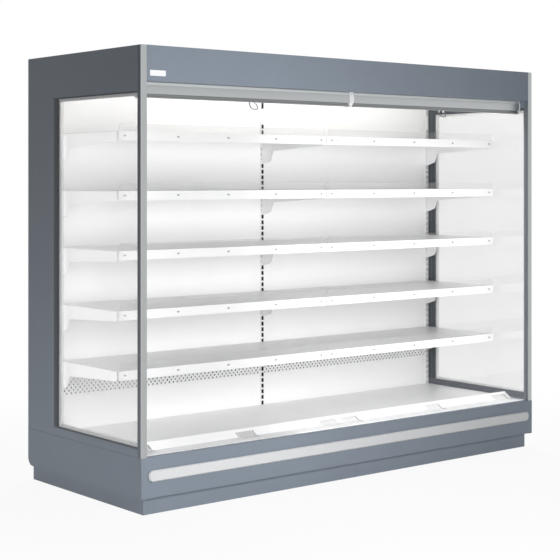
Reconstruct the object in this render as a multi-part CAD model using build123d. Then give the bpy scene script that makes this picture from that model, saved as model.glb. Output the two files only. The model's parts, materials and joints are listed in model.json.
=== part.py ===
from build123d import *
import os
from math import cos, radians, sin

# Open multideck display fridge, two 1250 mm modules between two glazed end walls.
# Millimetres, +Z up from the floor, +X along the length, the open front faces -Y.
# Depths are measured back from the front plane of the posts, heights up from the floor.

# ---- driving dimensions ----
MODULE_LENGTH = 1250
END_WALL = 30
LENGTH = 2 * MODULE_LENGTH + 2 * END_WALL
DEPTH = 990
HEIGHT = 2052
BUMPER_PROUD = 12
SHEET = 2

FRONT = -(DEPTH + BUMPER_PROUD) / 2 + BUMPER_PROUD
INNER_HALF = MODULE_LENGTH
OUTER_HALF = LENGTH / 2
MODULE_CENTRES = {"left": -MODULE_LENGTH / 2, "right": MODULE_LENGTH / 2}

# Heights of the casing
KICK_TOP = 75
BASE_BOTTOM = 76
BASE_TOP = 256.6
PANEL_RETURN = 44
SIDE_SEAM = 256
SILL_TOP = 293
HEADER_BOTTOM = 1851
FASCIA_BOTTOM = 1896
ROOF_BOTTOM = 1985
ROOF_TOP = 2035
DECK_TOP = 267
TUB_FLOOR = 120
TUB_BOTTOM = 84
TUB_END_WALL = 12
TUB_END_TOP = 245

# Drain outlet under the tub, behind the frame's rear beam
DRAIN_X = -300
DRAIN_DEPTH = 897
DRAIN_RADIUS = 16
DRAIN_WALL = 4
DRAIN_BOTTOM = 50

# Kick panels under the base
KICK_INSET = 28
KICK_CORNER = 52
KICK_SPAN = [2, KICK_TOP]
KICK_REAR = 988

# Depths of the casing, behind the front plane
POST_FACE = 5
GASKET_REAR = 28
COLUMN_FRONT = 744
GLASS_FRONT = 30
GLASS_REAR = 712
REAR_WALL_FRONT = 925
BACK_PANEL_FACE = 766
UPRIGHT_FACE = 763

# Shelves
SHELF_LEVELS = [604, 874, 1144, 1414, 1684]
SHELF_SPAN = [-1238, -2]
SHELF_FRONT = 248
SHELF_REAR = 758
RAIL_HEIGHT = 42
FENCE_HEIGHT = 35
BRACKET_THICKNESS = 2.5
BRACKET_INSET = 4
SLOT_PITCH = 30
SLOT_WIDTH = 15
SLOT_HEIGHT = 21
HOOK_DROP = 26
HOOK_SPACING = 90

# Night blinds
CASING_FRONT = 55
CASING_NECK = 60
CASING_REAR = 120
CASING_BOTTOM = 1843
CASING_SHOULDER = 1881
CASING_CHAMFER = 9
CASING_TOP = 1904
BLIND_CAP_WIDTH = 11
ROLLER_DEPTH = 88
ROLLER_HEIGHT = 1877
WOUND_RADIUS = 20
PULL_BAR_TOP = CASING_BOTTOM
PULL_BAR_SPAN = [55, 77]
LOOP_WIRE = 4
LOOP_HALF = 21
LOOP_LEG = 12
LOOP_TILT = 33
LOOP_DEPTH = 54

# Fans under the deck
FAN_RADIUS = 77
FAN_DEPTH = 372
FAN_HEIGHT = 190
FAN_TILT = 45

RUNNING_CLEARANCE = 0.05


def back(depth):
    """Row-frame y of a point this far behind the front plane."""
    return FRONT + depth


def slab(x_span, depth_span, z_span):
    """Rectangular block between two planes on each axis."""
    spans = [x_span, [back(depth) for depth in depth_span], z_span]
    size = [high - low for low, high in spans]
    middle = [(high + low) / 2 for low, high in spans]
    return Pos(*middle) * Box(*size)


def run_along_x(outline, x_span):
    """Solid with a side-view outline of (depth, height) points, run between two x planes."""
    points = [(back(depth), height) for depth, height in outline]
    face = make_face(Polyline(*points, close=True))
    return extrude(Plane.YZ.offset(x_span[0]) * face, x_span[1] - x_span[0])


def folded_sheet(fold_line, x_span, thickness=SHEET, side=Side.LEFT):
    """Bent sheet whose side view follows a line of (depth, height) points on one skin."""
    points = [(back(depth), height) for depth, height in fold_line]
    skin = Polyline(*points)
    section = make_face(offset(skin, amount=thickness, side=side, kind=Kind.ARC).edges())
    return extrude(Plane.YZ.offset(x_span[0]) * section, x_span[1] - x_span[0])


def opposite(shape):
    """The same piece on the right-hand end of the cabinet."""
    return mirror(shape, Plane.YZ)


def save(name, shape):
    shape.label = name
    export_step(shape, f"parts/{name}.step")


def save_pair(name, left_piece):
    save(f"{name}_left", left_piece)
    save(f"{name}_right", opposite(left_piece))


def save_per_module(name, piece):
    """One copy of a piece drawn about x = 0 for each module."""
    for side, centre in MODULE_CENTRES.items():
        save(f"{name}_{side}", Pos(centre, 0, 0) * piece)


# ---- underframe, feet and kick panels ----

FRAME_TUBE = 40
BEAM_DEPTHS = [110, 830]
CROSS_PLACES = [-1100, 0, 1100]


def base_frame():
    """Welded ladder of square tube under the tub, with tabs out to the kick panels."""
    tube_span = [TUB_BOTTOM - FRAME_TUBE, TUB_BOTTOM]
    front_beam, rear_beam = BEAM_DEPTHS
    beam_half = OUTER_HALF - KICK_INSET - SHEET
    frame = Part()
    for depth in BEAM_DEPTHS:
        frame += slab([-beam_half, beam_half], [depth, depth + FRAME_TUBE], tube_span)
    for x in CROSS_PLACES:
        x_span = [x - FRAME_TUBE / 2, x + FRAME_TUBE / 2]
        frame += slab(x_span, [front_beam, rear_beam + FRAME_TUBE], tube_span)
    for x in (-900, -300, 300, 900):
        frame += slab([x - 15, x + 15], [KICK_INSET + SHEET, front_beam], [56, 60])
    return frame


def levelling_foot():
    """Faceted pad with a coned top, a stud up to the frame's tube and its lock nut."""
    pad_height = 7
    cone_height = 9
    sides = 8
    stud_top = TUB_BOTTOM - FRAME_TUBE
    nut_height = 9
    foot = extrude(RegularPolygon(26, sides), pad_height)
    foot += extrude(Plane.XY.offset(pad_height) * RegularPolygon(24, sides), cone_height, taper=45)
    foot += extrude(RegularPolygon(6, 6), stud_top)
    nut = extrude(Plane.XY.offset(stud_top - nut_height) * RegularPolygon(11, 6), nut_height)
    return foot + nut


def levelling_feet():
    foot = levelling_foot()
    places = [(x, back(depth + FRAME_TUBE / 2)) for x in CROSS_PLACES for depth in BEAM_DEPTHS]
    return Compound([Pos(x, y, 0) * foot for x, y in places])


def kick_front(x_span):
    """Clip-on plate with a returned top edge."""
    line = [(KICK_INSET, KICK_SPAN[0]), (KICK_INSET, KICK_TOP), (KICK_INSET + 14, KICK_TOP)]
    return folded_sheet(line, x_span, side=Side.RIGHT)


def kick_sides():
    """Plain side plates between the corner pieces."""
    outside = -OUTER_HALF + KICK_INSET
    plate_span = [KICK_INSET + KICK_CORNER, KICK_REAR - KICK_CORNER]
    plate = slab([outside, outside + SHEET], plate_span, KICK_SPAN)
    return Compound([plate, opposite(plate)])


def kick_corners():
    """Four angle pieces that close the plinth's corners."""
    outside = OUTER_HALF - KICK_INSET
    angle = Polyline(
        (-outside, back(KICK_INSET)),
        (-outside + KICK_CORNER, back(KICK_INSET)),
        (-outside + KICK_CORNER, back(KICK_INSET + SHEET)),
        (-outside + SHEET, back(KICK_INSET + SHEET)),
        (-outside + SHEET, back(KICK_INSET + KICK_CORNER)),
        (-outside, back(KICK_INSET + KICK_CORNER)),
        close=True,
    )
    front_left = extrude(Plane.XY.offset(KICK_SPAN[0]) * make_face(angle), KICK_TOP - KICK_SPAN[0])
    middle_y = back((KICK_INSET + KICK_REAR) / 2)
    rear_left = mirror(front_left, Plane.XZ.offset(-middle_y))
    return Compound([front_left, rear_left, opposite(front_left), opposite(rear_left)])


# ---- base ----

def base_tub():
    """Insulated tub that holds the fans and drains the defrost water."""
    front_wall = [14, 60]
    tub = slab([-INNER_HALF, INNER_HALF], [front_wall[0], REAR_WALL_FRONT], [TUB_BOTTOM, BASE_TOP])
    well_depths = [front_wall[1], REAR_WALL_FRONT]
    well_half = INNER_HALF - TUB_END_WALL
    tub -= slab([-well_half, well_half], well_depths, [TUB_FLOOR, BASE_TOP])
    tub -= slab([-INNER_HALF, INNER_HALF], well_depths, [TUB_END_TOP, BASE_TOP])
    tub -= slab([-INNER_HALF, INNER_HALF], [front_wall[0], PANEL_RETURN], [BASE_TOP - SHEET, BASE_TOP])
    drain = Pos(DRAIN_X, back(DRAIN_DEPTH), DRAIN_BOTTOM)
    outlet = drain * extrude(Circle(DRAIN_RADIUS + DRAIN_WALL), TUB_BOTTOM - DRAIN_BOTTOM)
    return tub + outlet - drain * extrude(Circle(DRAIN_RADIUS), TUB_FLOOR - DRAIN_BOTTOM)


def base_front_panel():
    """Painted lower front, its top returned over the tub's wall; both flanges stop at the end walls."""
    line = [(14, BASE_BOTTOM + 2), (0, BASE_BOTTOM + 2), (0, BASE_TOP), (PANEL_RETURN, BASE_TOP)]
    panel = folded_sheet(line, [-OUTER_HALF, OUTER_HALF], side=Side.RIGHT)
    flange_depths = [SHEET, PANEL_RETURN + 1]
    for x_span in ([-OUTER_HALF, -INNER_HALF], [INNER_HALF, OUTER_HALF]):
        panel -= slab(x_span, flange_depths, [BASE_BOTTOM, BASE_TOP + 1])
    return panel


def bumper_rail():
    """Trolley bumper: a flat bar with rounded ends and a softened face."""
    bar = Plane.XZ.offset(-FRONT) * RectangleRounded(2490, 49, 23)
    rail = Pos(0, 0, 174.5) * extrude(bar, BUMPER_PROUD)
    face_edges = rail.faces().sort_by(Axis.Y)[0].edges()
    return chamfer(face_edges, 5)


def base_end():
    """Lower side panel, its rear bottom corner rounded off and its top seam eased."""
    outline = [(SHEET, BASE_BOTTOM), (DEPTH, BASE_BOTTOM), (DEPTH, SIDE_SEAM), (SHEET, SIDE_SEAM)]
    panel = run_along_x(outline, [-OUTER_HALF, -INNER_HALF])
    rear_bottom = panel.edges().filter_by(Axis.X).sort_by(Axis.Y)[-2:].sort_by(Axis.Z)[0]
    panel = fillet(rear_bottom, 40)
    seam = panel.edges().filter_by(Axis.Y).group_by(Axis.Z)[-1].sort_by(Axis.X)[0]
    return chamfer(seam, 1.5)


# ---- glazed end walls, drawn for the left-hand end ----

def end_frame():
    """Insulated side panel: rear column, header and sill round the glass."""
    outline = [
        (GASKET_REAR, SIDE_SEAM),
        (DEPTH, SIDE_SEAM),
        (DEPTH, HEIGHT),
        (GASKET_REAR, HEIGHT),
        (GASKET_REAR, HEADER_BOTTOM),
        (COLUMN_FRONT, HEADER_BOTTOM),
        (COLUMN_FRONT, SILL_TOP),
        (GASKET_REAR, SILL_TOP),
    ]
    return run_along_x(outline, [-OUTER_HALF, -INNER_HALF])


GLASS_MARGIN = 6
PANE = 4
PANE_FACES = [4, 22]
POST_WEB = [POST_FACE, 16]
WEB_PLACE = [-OUTER_HALF + 12, -OUTER_HALF + 18]
TRIM_REAR = UPRIGHT_FACE
TRIM_INNER_FRONT = 37
TRIM_TOP = HEADER_BOTTOM + 6


def end_glass():
    """Two panes of the sealed unit."""
    panes = []
    for outer_face in PANE_FACES:
        x_span = [-OUTER_HALF + outer_face, -OUTER_HALF + outer_face + PANE]
        z_span = [SILL_TOP + GLASS_MARGIN, HEADER_BOTTOM - GLASS_MARGIN]
        panes.append(slab(x_span, [GLASS_FRONT, GLASS_REAR], z_span))
    return Compound(panes)


def glass_surround():
    """Dark gasket frame round the panes, its front leg as tall as the post, with an inside trim flange."""
    wall_span = [-OUTER_HALF, -INNER_HALF]
    window = [SILL_TOP + GLASS_MARGIN, HEADER_BOTTOM - GLASS_MARGIN]
    ring = slab(wall_span, [GASKET_REAR, COLUMN_FRONT], [SILL_TOP, HEADER_BOTTOM])
    ring -= slab(wall_span, [GLASS_FRONT, GLASS_REAR], window)
    leg = slab(wall_span, [POST_FACE, GASKET_REAR], [SIDE_SEAM, HEIGHT])
    leg -= slab(WEB_PLACE, POST_WEB, [SILL_TOP, HEADER_BOTTOM])
    flange_span = [-INNER_HALF, -INNER_HALF + SHEET]
    flange = slab(flange_span, [POST_FACE, TRIM_REAR], [DECK_TOP, TRIM_TOP])
    flange -= slab(flange_span, [TRIM_INNER_FRONT, GLASS_REAR], window)
    return ring + leg + flange


def end_post():
    """Aluminium front post: a face plate, rounder on its outer edge, with a web let into the gasket."""
    plate = slab([-OUTER_HALF, -INNER_HALF], [0, POST_FACE], [BASE_TOP, HEIGHT])
    web = slab(WEB_PLACE, POST_WEB, [SILL_TOP, HEADER_BOTTOM])
    outer_edge, inner_edge = plate.edges().filter_by(Axis.Z).sort_by(Axis.Y)[:2].sort_by(Axis.X)
    plate = fillet(outer_edge, 4)
    inner_edge = plate.edges().filter_by(Axis.Z).group_by(Axis.Y)[0].sort_by(Axis.X)[-1]
    return fillet(inner_edge, 1.5) + web


# ---- rear wall, roof and canopy ----

def rear_wall():
    return slab([-INNER_HALF, INNER_HALF], [REAR_WALL_FRONT, DEPTH], [TUB_BOTTOM, ROOF_TOP])


def roof_panel():
    """Insulated roof with a down-stand that the blind casings hang from."""
    outline = [
        (62, CASING_TOP),
        (124, CASING_TOP),
        (124, ROOF_BOTTOM),
        (REAR_WALL_FRONT, ROOF_BOTTOM),
        (REAR_WALL_FRONT, ROOF_TOP),
        (62, ROOF_TOP),
    ]
    return run_along_x(outline, [-INNER_HALF, INNER_HALF])


def fascia():
    """Painted header panel, folded back over the roof edge and under the down-stand."""
    line = [(CASING_NECK, FASCIA_BOTTOM), (0, FASCIA_BOTTOM), (0, HEIGHT), (66, HEIGHT), (66, ROOF_TOP)]
    return folded_sheet(line, [-INNER_HALF, INNER_HALF], side=Side.RIGHT)


CEILING = 1905
GRILLE_SPAN = [CASING_REAR, 230]
GRILLE_BOTTOM = 1860


def canopy_liner():
    """Inner ceiling sheet, turned down and hooked under the discharge grille."""
    line = [
        (BACK_PANEL_FACE + 2, CEILING),
        (GRILLE_SPAN[1], CEILING),
        (GRILLE_SPAN[1], GRILLE_BOTTOM),
        (GRILLE_SPAN[1] - 9, GRILLE_BOTTOM),
    ]
    return folded_sheet(line, [-INNER_HALF, INNER_HALF])


def discharge_grille():
    """Air-curtain outlet: a long frame with cells that straighten the air."""
    height = 22
    cells = 20
    pitch = 2 * INNER_HALF / cells
    frame = slab([-INNER_HALF, INNER_HALF], GRILLE_SPAN, [GRILLE_BOTTOM, GRILLE_BOTTOM + height])
    openings = []
    for number in range(cells):
        start = -INNER_HALF + number * pitch
        x_span = [start + 1.5, start + pitch - 1.5]
        depth_span = [GRILLE_SPAN[0] + 6, GRILLE_SPAN[1] - 6]
        openings.append(slab(x_span, depth_span, [GRILLE_BOTTOM, GRILLE_BOTTOM + height]))
    return frame - openings


def canopy_lamp():
    """Lamp housing under the ceiling, its lens tilted towards the shelves."""
    outline = [(234, 1903), (282, 1903), (282, 1893), (262, 1878), (242, 1878), (234, 1886)]
    return run_along_x(outline, [-1200, 1200])


# ---- night blinds, drawn about the middle of a module ----

CAP_BOTTOM = 1822
CASING_HALF = MODULE_LENGTH / 2 - 2 - BLIND_CAP_WIDTH
ROLLER_HALF = CASING_HALF - 2
ROLLER_PIN = 4
PULL_BAR_HALF = CASING_HALF - 2
CLOTH_DEPTH = ROLLER_DEPTH - WOUND_RADIUS - 1.2
PULL_BAR_NECK = 10
PULL_BAR_BOTTOM = PULL_BAR_TOP - 17
LUG_SPAN = [13.5, 18.5]
LOOP_AXIS = PULL_BAR_BOTTOM - 6.5


def blind_casing():
    """Aluminium housing, open below for the cloth."""
    line = [
        (CASING_FRONT + 7, CASING_BOTTOM),
        (CASING_FRONT, CASING_BOTTOM),
        (CASING_FRONT, CASING_SHOULDER),
        (CASING_NECK, CASING_SHOULDER + CASING_CHAMFER),
        (CASING_NECK, CASING_TOP),
        (CASING_REAR, CASING_TOP),
        (CASING_REAR, CASING_BOTTOM + 7),
        (CASING_REAR - 26, CASING_BOTTOM + 7),
    ]
    return folded_sheet(line, [-CASING_HALF, CASING_HALF], side=Side.RIGHT)


def blind_cap(outside):
    """White end cap with the roller's bore, drawn in below the casing."""
    outline = [
        (CASING_NECK, CASING_TOP),
        (CASING_REAR, CASING_TOP),
        (CASING_REAR, CASING_BOTTOM + 7),
        (ROLLER_DEPTH + 8, CAP_BOTTOM),
        (ROLLER_DEPTH - 14, CAP_BOTTOM),
        (CASING_FRONT, CASING_BOTTOM + 7),
        (CASING_FRONT, CASING_SHOULDER),
        (CASING_NECK, CASING_SHOULDER + CASING_CHAMFER),
    ]
    inside = outside - BLIND_CAP_WIDTH if outside > 0 else outside + BLIND_CAP_WIDTH
    cap = run_along_x(outline, sorted([inside, outside]))
    bore = Pos((inside + outside) / 2, back(ROLLER_DEPTH), ROLLER_HEIGHT) * Rot(0, 90, 0)
    return cap - bore * Cylinder(ROLLER_PIN + RUNNING_CLEARANCE, BLIND_CAP_WIDTH)


def blind_end_caps():
    half = CASING_HALF + BLIND_CAP_WIDTH
    ends = [(centre, end) for centre in MODULE_CENTRES.values() for end in (-half, half)]
    return Compound([Pos(centre, 0, 0) * blind_cap(end) for centre, end in ends])


def blind_roller():
    """Wound cloth on its tube, with a pin at each end."""
    roller = Pos(0, 0, -ROLLER_HALF) * extrude(RegularPolygon(WOUND_RADIUS, 16), 2 * ROLLER_HALF)
    pin_length = CASING_HALF + 9 - ROLLER_HALF
    for side in (-1, 1):
        roller += Pos(0, 0, side * (ROLLER_HALF + pin_length / 2)) * Cylinder(ROLLER_PIN, pin_length)
    return Pos(0, back(ROLLER_DEPTH), ROLLER_HEIGHT) * Rot(0, 90, 0) * roller


def blind_cloth():
    """Free cloth between the roller and the pull bar."""
    half_width = ROLLER_HALF - 10
    return slab([-half_width, half_width], [CLOTH_DEPTH, CLOTH_DEPTH + 0.8], [PULL_BAR_TOP, ROLLER_HEIGHT])


def pull_bar():
    """Hollow bottom bar with a neck that grips the cloth and two lugs for the pull loop."""
    body_span = [PULL_BAR_BOTTOM, PULL_BAR_TOP - PULL_BAR_NECK]
    x_span = [-PULL_BAR_HALF, PULL_BAR_HALF]
    bar = slab(x_span, PULL_BAR_SPAN, body_span)
    bar = chamfer(bar.edges().filter_by(Axis.X), 1.5)
    cavity_depths = [PULL_BAR_SPAN[0] + 2, PULL_BAR_SPAN[1] - 2]
    bar -= slab(x_span, cavity_depths, [body_span[0] + 2, body_span[1] - 2])
    bar += slab(x_span, [CLOTH_DEPTH - 2.6, CLOTH_DEPTH + 3.4], [body_span[1], PULL_BAR_TOP])
    for lug_span in (LUG_SPAN, [-LUG_SPAN[1], -LUG_SPAN[0]]):
        bar += slab(lug_span, [LOOP_DEPTH - 5, LOOP_DEPTH + 5], [LOOP_AXIS - 5, PULL_BAR_BOTTOM + 2])
    wire_hole = Pos(0, back(LOOP_DEPTH), LOOP_AXIS) * Rot(0, 90, 0)
    return bar - wire_hole * Cylinder(LOOP_WIRE / 2 + RUNNING_CLEARANCE, 60)


def pull_loop():
    """Wire bail, half round below its legs, whose bent-in ends turn in the bar's lugs."""
    leg_top = LOOP_WIRE / 2
    bend_sides = 8
    turns = [radians(180 * number / bend_sides) for number in range(bend_sides + 1)]
    bend = [(-LOOP_HALF * cos(turn), -LOOP_LEG - LOOP_HALF * sin(turn)) for turn in turns]
    path = Polyline((-LOOP_HALF, leg_top), *bend, (LOOP_HALF, leg_top))
    bail = extrude(Plane.XZ.offset(-LOOP_WIRE / 2) * trace(path, line_width=LOOP_WIRE), LOOP_WIRE)
    pin_end = LUG_SPAN[0] + 0.5
    pin_length = LOOP_HALF - pin_end
    for side in (-1, 1):
        pin = Rot(0, 90, 0) * Cylinder(LOOP_WIRE / 2, pin_length)
        bail += Pos(side * (pin_end + pin_length / 2), 0, 0) * pin
    return Pos(0, back(LOOP_DEPTH), LOOP_AXIS) * Rot(-LOOP_TILT, 0, 0) * bail


# ---- back panels and slotted uprights ----

UPRIGHT_CENTRES = [-INNER_HALF + 12, 0, INNER_HALF - 12]
UPRIGHT_BOTTOMS = [TUB_END_TOP, TUB_FLOOR, TUB_END_TOP]
UPRIGHT_TOP = 1903
UPRIGHT_HALF = 11
SLOTS_BELOW_SHELVES = 10
SLOT_COUNT = 50
CANOPY_SLOT = [1843, 1876]


def back_panel():
    """Duct sheet behind the shelves of the left module, its side edges folded back."""
    left_edge = UPRIGHT_CENTRES[0] + UPRIGHT_HALF
    right_edge = -UPRIGHT_HALF
    z_span = [250, UPRIGHT_TOP]
    sheet = slab([left_edge, right_edge], [BACK_PANEL_FACE, BACK_PANEL_FACE + SHEET], z_span)
    for edge in ([left_edge, left_edge + SHEET], [right_edge - SHEET, right_edge]):
        sheet += slab(edge, [BACK_PANEL_FACE, BACK_PANEL_FACE + 18], z_span)
    return sheet


def upright(centre, bottom):
    """Channel with one column of slots for the shelf brackets and a longer slot under the canopy."""
    x_span = [centre - UPRIGHT_HALF, centre + UPRIGHT_HALF]
    z_span = [bottom, UPRIGHT_TOP]
    channel = slab(x_span, [UPRIGHT_FACE, UPRIGHT_FACE + 30], z_span)
    inside = [x_span[0] + SHEET, x_span[1] - SHEET]
    channel -= slab(inside, [UPRIGHT_FACE + SHEET, UPRIGHT_FACE + 30], z_span)
    first_slot = SHELF_LEVELS[0] - HOOK_DROP - SLOTS_BELOW_SHELVES * SLOT_PITCH
    slot_spans = [CANOPY_SLOT]
    for number in range(SLOT_COUNT):
        height = first_slot + number * SLOT_PITCH
        slot_spans.append([height - SLOT_HEIGHT / 2, height + SLOT_HEIGHT / 2])
    slot_width = [centre - SLOT_WIDTH / 2, centre + SLOT_WIDTH / 2]
    slots = [slab(slot_width, [UPRIGHT_FACE, UPRIGHT_FACE + SHEET], span) for span in slot_spans]
    return channel - slots


def uprights():
    return Compound([upright(*place) for place in zip(UPRIGHT_CENTRES, UPRIGHT_BOTTOMS)])


# ---- shelves ----

def shelf(level):
    """Folded tray with its snap-on price rail; the rear lip fits between the brackets."""
    tray_line = [
        (SHELF_FRONT + 14, level - 34),
        (SHELF_FRONT, level - 34),
        (SHELF_FRONT, level - 1),
        (SHELF_REAR, level - 1),
    ]
    tray = folded_sheet(tray_line, SHELF_SPAN, side=Side.RIGHT)
    lip_span = [SHELF_SPAN[0] + 10, SHELF_SPAN[1] - 10]
    tray += slab(lip_span, [SHELF_REAR - SHEET, SHELF_REAR], [level - 22, level - 1])
    rail_line = [
        (SHELF_FRONT + 6, level - RAIL_HEIGHT),
        (SHELF_FRONT - 3, level - RAIL_HEIGHT),
        (SHELF_FRONT - 3, level),
        (SHELF_FRONT + 8, level),
    ]
    rail = folded_sheet(rail_line, SHELF_SPAN, side=Side.RIGHT, thickness=1)
    return Compound([tray, rail])


def shelf_fence(level):
    """Clear front stop of the left module, with sloping ends."""
    left = SHELF_SPAN[0] + 2
    right = SHELF_SPAN[1] - 2
    slope = 10
    top = level + FENCE_HEIGHT
    outline = Polyline((left, level), (right, level), (right - slope, top), (left + slope, top), close=True)
    face = Plane.XZ.offset(-back(SHELF_FRONT + 3)) * make_face(outline)
    return extrude(face, 3)


def shelf_fences():
    left_fences = [shelf_fence(level) for level in SHELF_LEVELS]
    return Compound(left_fences + [opposite(fence) for fence in left_fences])


def shelf_bracket(level):
    """Pressed cantilever: slim arm, deep heel and two hooks for the upright's slots."""
    top = level - 3
    heel_back = UPRIGHT_FACE
    arm = Polyline(
        (back(SHELF_FRONT + 16), top),
        (back(heel_back), top),
        (back(heel_back), level - 133),
        (back(745), level - 133),
        (back(697), level - 118),
        (back(674), level - 67),
        (back(SHELF_FRONT + 16), level - 46),
        close=True,
    )
    blade = make_face(arm)
    for drop in (HOOK_DROP, HOOK_DROP + HOOK_SPACING):
        middle = level - drop
        slot_floor = middle - SLOT_HEIGHT / 2
        hook = Polyline(
            (back(heel_back), slot_floor),
            (back(heel_back), middle + 4),
            (back(heel_back + 11), middle + 4),
            (back(heel_back + 11), slot_floor - 9),
            (back(heel_back + 4), slot_floor - 9),
            (back(heel_back + 4), slot_floor),
            close=True,
        )
        blade += make_face(hook)
    return extrude(Plane.YZ.offset(-BRACKET_THICKNESS / 2) * blade, BRACKET_THICKNESS)


def shelf_brackets():
    """A pair for each shelf; two brackets share every slot of the middle upright."""
    left_end, middle, right_end = UPRIGHT_CENTRES
    places = [left_end + BRACKET_INSET, middle - BRACKET_INSET]
    places += [middle + BRACKET_INSET, right_end - BRACKET_INSET]
    brackets = [Pos(x, 0, 0) * shelf_bracket(level) for level in SHELF_LEVELS for x in places]
    return Compound(brackets)


# ---- return-air riser and deck ----

RISER_TOP = 288.5
RISER_FRONT = 30
RISER_FOOT = 124
RISER_CREST = [168, 174]
WINDOW_WIDTH = 106
WINDOW_OFFSETS = [-566, 26, 543]
WINDOW_DEPTHS = [RISER_FOOT - 44, RISER_CREST[0] - 14]
TEETH = 6
TOOTH_PITCH = 16
TOOTH_WIDTH = 4
TOOTH_HEIGHT = 6
TRIM_FACE = -INNER_HALF + SHEET
RISER_SPANS = {"left": [TRIM_FACE, -0.5], "right": [0.5, -TRIM_FACE]}


def return_riser(side):
    """One module's front ledge, which takes the returning air through combed windows in its slope."""
    line = [
        (RISER_FRONT, BASE_TOP + SHEET),
        (RISER_FOOT, BASE_TOP + SHEET),
        (RISER_CREST[0], RISER_TOP),
        (RISER_CREST[1], RISER_TOP),
        (RISER_CREST[1], DECK_TOP - SHEET),
        (RISER_CREST[1] + 14, DECK_TOP - SHEET),
    ]
    riser = folded_sheet(line, RISER_SPANS[side], side=Side.RIGHT)
    centres = [MODULE_CENTRES[side] + offset for offset in WINDOW_OFFSETS]
    for centre in centres:
        x_span = [centre - WINDOW_WIDTH / 2, centre + WINDOW_WIDTH / 2]
        riser -= slab(x_span, WINDOW_DEPTHS, [BASE_TOP - 5, RISER_TOP - 6])
    teeth = [tooth for centre in centres for tooth in window_teeth(centre)]
    return Compound([riser] + teeth)


def window_teeth(centre):
    """Teeth across one window, each seated between its front and rear edges."""
    front, rear = WINDOW_DEPTHS
    slope = (RISER_TOP - BASE_TOP - SHEET) / (RISER_CREST[0] - RISER_FOOT)
    rear_height = BASE_TOP + slope * (rear - RISER_FOOT)
    outline = [
        (front, BASE_TOP - TOOTH_HEIGHT),
        (RISER_FOOT, BASE_TOP - TOOTH_HEIGHT),
        (rear, rear_height - TOOTH_HEIGHT),
        (rear, rear_height),
        (RISER_FOOT, BASE_TOP + 1),
        (front, BASE_TOP + 1),
    ]
    teeth = []
    for number in range(TEETH):
        middle = centre + (number - (TEETH - 1) / 2) * TOOTH_PITCH
        teeth.append(run_along_x(outline, [middle - TOOTH_WIDTH / 2, middle + TOOTH_WIDTH / 2]))
    return teeth


def deck_plate():
    """Left module's base shelf, laid over the fans, its rear edge folded down, with two ribs under it."""
    rear = UPRIGHT_FACE - 1
    line = [(RISER_CREST[1] + 2, DECK_TOP), (rear, DECK_TOP), (rear, DECK_TOP - 20)]
    x_span = [TRIM_FACE + 0.5, -0.5]
    plate = folded_sheet(line, x_span, side=Side.RIGHT)
    rib_top = DECK_TOP - SHEET
    for depth in (330, 520):
        floor = rib_top - 12
        rib_line = [(depth, rib_top), (depth + 6, floor), (depth + 24, floor), (depth + 30, rib_top)]
        plate += folded_sheet(rib_line, [x_span[0] + 20, x_span[1] - 20])
    return plate


# ---- fans and cooling coil ----

FAN_NORMAL = Plane(
    origin=(0, back(FAN_DEPTH), FAN_HEIGHT),
    x_dir=(1, 0, 0),
    z_dir=(0, -sin(radians(FAN_TILT)), cos(radians(FAN_TILT))),
)
SHAFT_RADIUS = 4
HUB_LENGTH = 24


def fan_plate():
    """Sloping bulkhead with a faceted orifice, from the tub's floor up to the deck plate."""
    half = MODULE_LENGTH / 2 - 14
    down = FAN_HEIGHT - TUB_FLOOR
    up = DECK_TOP - 2 * SHEET - FAN_HEIGHT
    line = [
        (FAN_DEPTH - down - 14, TUB_FLOOR),
        (FAN_DEPTH - down, TUB_FLOOR),
        (FAN_DEPTH + up, FAN_HEIGHT + up),
        (FAN_DEPTH + up + 14, FAN_HEIGHT + up),
    ]
    plate = folded_sheet(line, [-half, half])
    orifice = Pos(0, 0, -15) * extrude(RegularPolygon(FAN_RADIUS + 4, 20), 30)
    return plate - FAN_NORMAL * orifice


def fan_plates():
    return Compound([Pos(centre, 0, 0) * fan_plate() for centre in MODULE_CENTRES.values()])


def fan_motor():
    """Motor and shaft on a bridge whose two feet stand on the bulkhead."""
    bridge_height = 24
    bridge_half = 100
    bridge_half_width = 8
    bridge = Polyline(
        (-bridge_half, SHEET),
        (-bridge_half, bridge_height),
        (bridge_half, bridge_height),
        (bridge_half, SHEET),
        (bridge_half - 10, SHEET),
        (bridge_half - 10, bridge_height - 3),
        (10 - bridge_half, bridge_height - 3),
        (10 - bridge_half, SHEET),
        close=True,
    )
    motor = extrude(Plane.XZ.offset(-bridge_half_width) * make_face(bridge), 2 * bridge_half_width)
    motor += Pos(0, 0, bridge_height) * extrude(RegularPolygon(26, 12), 34)
    shaft_length = bridge_height + 6
    motor += Pos(0, 0, bridge_height - shaft_length / 2) * Cylinder(SHAFT_RADIUS, shaft_length)
    return motor


def fan_motors():
    return Compound([Pos(centre, 0, 0) * (FAN_NORMAL * fan_motor()) for centre in MODULE_CENTRES.values()])


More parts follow.
